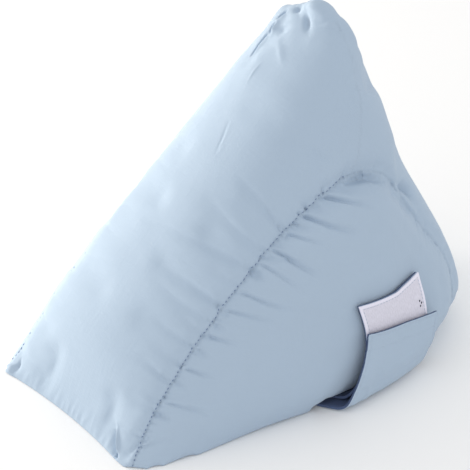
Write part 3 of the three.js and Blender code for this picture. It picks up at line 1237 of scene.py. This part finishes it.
    def lay_out(self, mesh: bpy.types.Mesh, seams: Sequence[Seam]) -> None:
        """Gives the mesh its flat cloth map, in metres, so that the weave follows each panel.

        Args:
            mesh: the cushion's mesh.
            seams: its seams.
        """
        crown = Route(self.plan(("", "crown_y", "crown_z"), Side.NEAR, 60))
        places = places_of(mesh)
        level = places.copy()
        level[:, 0] = self.origin[0]
        _, along, _ = crown.nearest(level)
        near = places[:, 0] > self.origin[0]
        panel = np.where(near, *(seam.look(places)[2] for seam in seams))
        wrap = np.stack([places[:, 0], along], axis=1)
        flat = np.where((panel == Panel.WRAP.value)[:, None], wrap, places[:, 1:])
        corners = np.empty(len(mesh.loops), dtype=int)
        mesh.loops.foreach_get("vertex_index", corners)
        layer = mesh.uv_layers.new(name="cloth")
        layer.data.foreach_set("uv", flat[corners].ravel())

    def stitches(self, mesh: bpy.types.Mesh, seams: Sequence[Seam]) -> bpy.types.Object:
        """Lays the thread of both seams on the finished cover.

        Args:
            mesh: the cover's mesh.
            seams: its seams.

        Returns:
            The stitches, as one piece.
        """
        tree = surface_of(mesh)
        row = StitchRow("seam_stitches")
        for side, seam in zip(Side, seams):
            # past the top of the arch the seam lies sunk between the panels
            sewn = slice(0, int(len(seam.route.points) * self.top_of_arch))
            near = side is Side.NEAR
            beside = seam.to_wrap * row.inset if near else seam.to_gusset * self.far_inset
            line = Route((seam.route.points + beside)[sewn])
            row.sew(line, lambda spot: tree.find_nearest(Vector(spot))[:2])
        return row.finish_piece()

    def build(self) -> list[bpy.types.Object]:
        """Makes the finished cover and its stitches.

        Returns:
            The cover and its stitches.
        """
        piece = self.fine_copy()
        self.inflate(piece, [self.seam_on(piece.data, side) for side in Side])
        seams = [self.seam_on(piece.data, side) for side in Side]
        tree = surface_of(piece.data)
        sharp = [self.fold_line(fold, tree) for fold in CREASES if fold.sharp]
        self.refine(piece, [seam.route for seam in seams] + sharp)
        seams = [self.seam_on(piece.data, side) for side in Side]
        self.sew(piece.data, seams)
        self.crease(piece.data, seams)
        self.draw_front_in(piece.data)
        self.pull_ear(piece.data)
        self.lay_out(piece.data, seams)
        shade_smooth(piece.data)
        dress(piece, COTTON)
        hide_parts(self.node.name)
        return [piece, self.stitches(piece.data, seams)]


@dataclass(frozen=True)
class StrapRow:
    """The two edges of a strap at one place along it, in millimetres.

    out is the distance of its inner face from the cushion's side, below 0 under the base.
    """

    along: float
    front_y: float
    back_y: float
    front_z: float
    back_z: float
    front_out: float
    back_out: float


INNER_STRAP = (
    StrapRow(0.0, 150, 209, 6.6, 6.6, -34, -38),
    StrapRow(0.2, 166, 227, 6.6, 6.6, -12, -16),
    StrapRow(0.27, 171, 232, 6.3, 6.3, -6, -6.5),
    StrapRow(0.31, 175, 235, 7.4, 7.4, -1.8, -1.8),
    StrapRow(0.35, 179, 239, 11, 11, -0.1, -0.1),
    StrapRow(0.4, 183, 243, 15, 15, 0.8, 0.8),
    StrapRow(0.48, 187, 247, 23, 22, 1.4, 1.4),
    StrapRow(0.62, 191, 250, 39, 35, 1.4, 1.4),
    StrapRow(0.8, 191, 251, 60, 55, 1.4, 1.4),
    StrapRow(1.0, 187, 248, 81, 79, 1.4, 1.4),
)
OUTER_STRAP = (
    StrapRow(0.0, 140, 215, 3.2, 3.2, -36, -43),
    StrapRow(0.25, 160, 236, 3.2, 3.2, -6, -14),
    StrapRow(0.36, 167, 242, 4.2, 3.7, 4.2, -3.3),
    StrapRow(0.45, 171, 246, 10, 8, 8.5, 2),
    StrapRow(0.6, 178, 251, 24, 18, 8.6, 5),
    StrapRow(0.8, 186, 256, 43, 32, 6.9, 6.4),
    StrapRow(1.0, 190, 259, 60, 46, 6.3, 6.3),
)


@dataclass
class Sheet:
    """A flat piece of cloth on a face that is given by shares along and across it.

    hem is how far its end is folded in, stitch how far from its edges it is sewn, and sewn_from
    the share of its length where the rows of stitches start.
    """

    name: str
    node: str
    face: Face
    thickness: float
    steps_along: int
    steps_across: int
    finish: Finish
    slot: str
    held: str
    hem: float = 0.0
    hem_rise: float = 0.5 * MM
    hem_slope: float = 1.0 * MM
    stitch: float = 2.6 * MM
    stitch_dip: float = 0.4 * MM
    dip_width: float = 0.8 * MM
    sewn_from: float = 0.3
    # The finish below is painted shade for the inner face and the rims; the share after it is how far
    # along the outer face that painted shade also reaches.
    painted_shade_finish: Finish | None = None
    painted_shade_to: float = 0.0
    edge: float = 0.45 * MM
    rim_angle: float = math.radians(60)
    size: tuple[float, float] = field(init=False)

    def __post_init__(self) -> None:
        """Measures the sheet flat: its width and length in metres."""
        shares = np.linspace(0.0, 1.0, 40)
        tries = (0.0, 0.25, 0.5, 0.75, 1.0)
        lines = [Route(np.array([self.face(a, c) for a in shares])).length for c in tries]
        rows = [Route(np.array([self.face(a, c) for c in shares])).length for a in tries]
        self.size = round(float(np.mean(rows)), 4), round(float(np.mean(lines)), 4)

    def outward(self, along: float, across: float) -> np.ndarray:
        """Finds the direction square to the face, away from the cushion.

        Args:
            along: the share along the face.
            across: the share across it.

        Returns:
            The direction, as a unit vector.
        """
        step = 0.01
        a0, a1 = max(along - step, 0.0), min(along + step, 1.0)
        c0, c1 = max(across - step, 0.0), min(across + step, 1.0)
        way_along = self.face(a1, across) - self.face(a0, across)
        way_across = self.face(along, c1) - self.face(along, c0)
        out = np.cross(way_across, way_along)
        return out / np.linalg.norm(out)

    def raised(self, distance: float) -> Face:
        """The same face moved out by a distance."""
        return lambda along, across: self.face(along, across) + self.outward(along, across) * distance

    def relief(self, along: float, across: float) -> float:
        """Works out how far the hem and its rows of stitches lift or lower the sheet.

        Args:
            along: the share along the sheet.
            across: the share across it.

        Returns:
            The lift there, in metres.
        """
        if self.hem == 0.0:
            return 0.0
        width, length = self.size
        from_end = (1 - along) * length
        from_side = min(across, 1 - across) * width
        low, high = self.hem - self.hem_slope, self.hem + self.hem_slope
        rise = 1 - float(fade(np.array(from_end), low, high))
        dips = sum(math.exp(-(((d - self.stitch) / self.dip_width) ** 2)) for d in (from_end, from_side))
        return self.hem_rise * rise - self.stitch_dip * min(dips, 1.0)

    def surface(self, along: float, across: float) -> np.ndarray:
        """Point of the sheet's outer face."""
        lift = self.thickness + self.relief(along, across)
        return self.face(along, across) + self.outward(along, across) * lift

    def stitch_lines(self) -> list[list[tuple[float, float]]]:
        """Plans the rows of stitches along the end and both sides.

        Returns:
            The start, middle and end of each, as shares along and across.
        """
        width, length = self.size
        end, side = 1 - self.stitch / length, self.stitch / width
        middle = (self.sewn_from + end) / 2
        return [
            [(end, side), (end, 0.5), (end, 1 - side)],
            [(self.sewn_from, side), (middle, side), (end, side)],
            [(self.sewn_from, 1 - side), (middle, 1 - side), (end, 1 - side)],
        ]

    def sew(self, row: StitchRow, steps: int = 40) -> None:
        """Adds the sheet's own rows of stitches to a row object.

        Args:
            row: the stitches that they are added to.
            steps: how many points of the sheet each row follows.
        """
        for corners in self.stitch_lines():
            spots = np.array([
                [np.interp(t, (0, 0.5, 1), [c[k] for c in corners]) for k in (0, 1)]
                for t in np.linspace(0, 1, steps)
            ])
            points = np.array([self.surface(*spot) for spot in spots])
            ways = np.array([self.outward(*spot) for spot in spots])
            line = Route(points)

            def ground(
                spot: np.ndarray, points: np.ndarray = points, ways: np.ndarray = ways
            ) -> tuple[Vector, Vector]:
                """Nearest point of the sheet's face on the line, and the way out there."""
                i = int(np.argmin(np.linalg.norm(points - spot, axis=1)))
                return Vector(spot), Vector(ways[i])

            row.sew(line, ground)

    def unpainted_faces(self, shape: bmesh.types.BMesh) -> set[bmesh.types.BMFace]:
        """Finds the faces that keep the sheet's own finish, free of the painted shade.

        Args:
            shape: the sheet's outer face.

        Returns:
            The faces past the part of the sheet with painted shade.
        """
        flat = shape.loops.layers.uv["cloth"]
        shaded = self.painted_shade_to * self.size[1]
        return {face for face in shape.faces if face.loops[0][flat].uv.y >= shaded}

    def build(self, rests_on: Sequence[str]) -> bpy.types.Object:
        """Makes the sheet with soft edges.

        Args:
            rests_on: names of what it lies on; not used.

        Returns:
            The sheet's object.
        """
        shape = bmesh.new()
        flat = shape.loops.layers.uv.new("cloth")
        bmesh.ops.create_grid(
            shape, x_segments=self.steps_along, y_segments=self.steps_across, size=0.5
        )
        width, length = self.size
        for face in shape.faces:
            for corner in face.loops:
                along, across = corner.vert.co.x + 0.5, corner.vert.co.y + 0.5
                corner[flat].uv = (across * width, along * length)
        spots = [(vert.co.x + 0.5, vert.co.y + 0.5) for vert in shape.verts]
        for vert, spot in zip(shape.verts, spots):
            vert.co = Vector(self.face(*spot))
        bmesh.ops.recalc_face_normals(shape, faces=shape.faces)
        top = shape.faces[:]
        middle = max(top, key=lambda f: f.calc_center_median().z)
        if middle.normal.dot(Vector(self.outward(1.0, 0.5))) < 0:
            bmesh.ops.reverse_faces(shape, faces=top)
        shape.normal_update()
        for vert, spot in zip(shape.verts, spots):
            vert.co += vert.normal * (self.thickness + self.relief(*spot))
        light = self.unpainted_faces(shape)
        bmesh.ops.solidify(shape, geom=shape.faces[:], thickness=self.thickness)
        # faces outside that set, with the inner face and the rims that solidify adds, get the finish of
        # painted shade
        for face in shape.faces:
            face.material_index = 0 if face in light or self.painted_shade_finish is None else 1
        rim = [e for e in shape.edges if e.is_manifold and e.calc_face_angle() > self.rim_angle]
        bmesh.ops.bevel(
            shape,
            geom=rim,
            offset=self.edge,
            affect="EDGES",
            segments=3,
            profile=0.5,
            material=-1,
        )
        bmesh.ops.recalc_face_normals(shape, faces=shape.faces)
        piece = new_piece(self.name, shape)
        shade_smooth(piece.data)
        dress(piece, self.finish, self.painted_shade_finish)
        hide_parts(self.node)
        return piece


@dataclass
class Straps:
    """The two straps that come out from under the base, and the loop tape on the inner one."""

    cushion: Cushion
    side_level: float = 18 * MM
    inner_thickness: float = 2.0 * MM
    outer_thickness: float = 2.2 * MM
    outer_hem: float = 15 * MM
    tape_thickness: float = 1.2 * MM
    tape_gap: float = 0.35 * MM
    tape_from: float = 0.6
    tape_to: float = 1.0
    tape_margin: float = -0.004
    kink_across: float = 0.58
    kink_from: float = 0.62
    kink_drop: float = 3.0 * MM
    look_from: float = 0.5
    tacks: tuple[tuple[float, float], ...] = ((0.49, 0.9), (0.53, 0.925), (0.575, 0.9))
    tack_way: tuple[float, float, float] = (0.2, 0.3, 1.0)

    def __post_init__(self) -> None:
        """Prepares to find the cushion's side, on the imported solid."""
        self.tree = surface_of(self.cushion.node.data)

    def side_at(self, y: float, z: float) -> float:
        """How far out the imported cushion's near side stands."""
        start = Vector((self.cushion.origin[0] + self.look_from, y, z))
        return self.tree.ray_cast(start, Vector((-1, 0, 0)))[0].x

    def face(self, rows: Sequence[StrapRow], drop: float = 0.0) -> Face:
        """Inner face of a strap by shares along it and across it.

        Args:
            rows: the strap's table.
            drop: how far its end sinks at the kink.

        Returns:
            A function that gives the point of the face.
        """
        base = self.cushion.origin

        def point(along: float, across: float) -> np.ndarray:
            """Finds a point of the face.

            Args:
                along: the share along the strap.
                across: the share across it.

            Returns:
                The point.
            """
            pair = {
                key: (1 - across) * smooth_value(rows, f"front_{key}", along)
                + across * smooth_value(rows, f"back_{key}", along)
                for key in ("y", "z", "out")
            }
            kink = min(across / self.kink_across, (1 - across) / (1 - self.kink_across))
            ending = float(fade(np.array(along), self.kink_from, 1.0))
            y, z = base[1] + pair["y"] * MM, pair["z"] * MM - drop * kink * ending
            return np.array([self.side_at(y, max(z, self.side_level)) + pair["out"] * MM, y, z])

        return point

    def build(self) -> list[bpy.types.Object]:
        """Makes both straps, the tape and their stitches.

        Returns:
            The five objects.
        """
        # painted shade: the dark cotton goes on both straps' inner faces and rims, and on the inner
        # strap's outer face below the tape, for the deep shade between the straps and the cushion
        cotton = {"finish": COTTON, "slot": "cotton_cloth", "held": "draped", "painted_shade_finish": PAINTED_SHADE_COTTON}
        inner = Sheet(
            "strap_with_tape", "strap_inner", self.face(INNER_STRAP, self.kink_drop),
            self.inner_thickness, steps_along=70, steps_across=44, painted_shade_to=self.tape_from, **cotton,
        )
        outer = Sheet(
            "strap_over_it", "strap_outer", self.face(OUTER_STRAP),
            self.outer_thickness, steps_along=110, steps_across=84, hem=self.outer_hem, **cotton,
        )
        lifted = inner.raised(self.inner_thickness + self.tape_gap)
        span, margin = self.tape_to - self.tape_from, self.tape_margin

        def tape_face(along: float, across: float) -> np.ndarray:
            """Point of the tape's under side, on the inner strap."""
            return lifted(self.tape_from + span * along, margin + (1 - 2 * margin) * across)

        tape = Sheet(
            "loop_tape_pile", "loop_tape", tape_face, self.tape_thickness,
            steps_along=44, steps_across=60, finish=LOOPS, slot="loop_pile", held="laid",
        )
        log.info("loop tape: %s", tape.size)
        fine = StitchRow(
            "strap_stitches", pitch=3.0 * MM, length=2.2 * MM, thick=0.4 * MM, finish=PALE_THREAD
        )
        outer.sew(fine)
        tape.sew(fine)
        tack = StitchRow("tape_tack", length=1.8 * MM, thick=0.9 * MM, finish=DARK_THREAD)
        for spot in self.tacks:
            tack.stitch(
                Vector(tape.surface(*spot)), Vector(self.tack_way), Vector(tape.outward(*spot))
            )
        return [
            inner.build(["cushion_cover"]),
            outer.build(["cushion_cover"]),
            tape.build(["strap_with_tape"]),
            fine.finish_piece(),
            tack.finish_piece(),
        ]


@dataclass(frozen=True)
class Studio:
    """Camera, light and floor. The key lamp stands low, to the front of the far side."""

    azimuth: float = 54.0
    elevation: float = 35.0
    aim: tuple[float, float, float] = (0.0048, -0.0131, 0.1094)
    frame_width: float = 0.3384
    distance: float = 9.0
    sensor: float = 36.0
    key_place: tuple[float, float, float] = (-0.75, -0.37, 0.055)
    key_size: float = 0.35
    key_power: float = 11.2
    warmth: tuple[float, float, float] = (1.0, 0.93, 0.82)
    sky_strength: float = 0.95
    floor_size: float = 40.0
    floor_level: float = -0.3 * MM
    floor_colour: tuple[float, float, float, float] = (0.95, 0.95, 0.95, 1.0)

    def camera(self) -> None:
        """Puts the camera at the photograph's angle."""
        turn, rise = math.radians(self.azimuth), math.radians(self.elevation)
        back = Vector((
            math.sin(turn) * math.cos(rise), -math.cos(turn) * math.cos(rise), math.sin(rise)
        ))
        lens = bpy.data.cameras.new("camera")
        lens.sensor_width = self.sensor
        lens.lens = self.sensor * self.distance / self.frame_width
        lens.clip_start, lens.clip_end = 0.1, 100.0
        camera = bpy.data.objects.new("camera", lens)
        camera.location = Vector(self.aim) + back * self.distance
        camera.rotation_euler = back.to_track_quat("Z", "Y").to_euler()
        bpy.context.scene.collection.objects.link(camera)
        bpy.context.scene.camera = camera

    def key(self) -> None:
        """Adds a square soft light that looks at the cushion."""
        light = bpy.data.lights.new("key", "AREA")
        light.size = self.key_size
        light.energy = self.key_power
        light.color = self.warmth
        lamp = bpy.data.objects.new("key", light)
        lamp.location = self.key_place
        lamp.visible_camera = False
        way = Vector(self.aim) - Vector(self.key_place)
        lamp.rotation_euler = way.to_track_quat("-Z", "Y").to_euler()
        bpy.context.scene.collection.objects.link(lamp)

    def floor(self) -> None:
        """Adds the pale floor."""
        shape = bmesh.new()
        bmesh.ops.create_grid(shape, x_segments=1, y_segments=1, size=self.floor_size)
        bmesh.ops.translate(shape, verts=shape.verts, vec=(0, 0, self.floor_level))
        piece = new_piece("floor", shape)
        graph = Graph("pale floor")
        shader = graph.node(
            "ShaderNodeBsdfPrincipled", {}, {"Base Color": self.floor_colour, "Roughness": 0.9}
        )
        graph.node("ShaderNodeOutputMaterial", {}, {"Surface": shader["BSDF"]})
        piece.data.materials.append(graph.material)

    def build(self) -> None:
        """Sets up the whole studio."""
        scene = bpy.context.scene
        self.camera()
        self.floor()
        world = bpy.data.worlds.new("studio")
        world.use_nodes = True
        sky = world.node_tree.nodes["Background"]
        sky.inputs["Color"].default_value = (1.0, 1.0, 1.0, 1.0)
        sky.inputs["Strength"].default_value = self.sky_strength
        scene.world = world
        self.key()
        scene.view_settings.view_transform = "Standard"


def main() -> None:
    """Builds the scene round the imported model."""
    logging.basicConfig(level=logging.INFO, format="%(message)s")
    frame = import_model()
    Studio().build()
    cushion = Cushion(frame["nodes"]["cushion"])
    cushion.build()
    Straps(cushion).build()


if __name__ == "__main__":
    main()
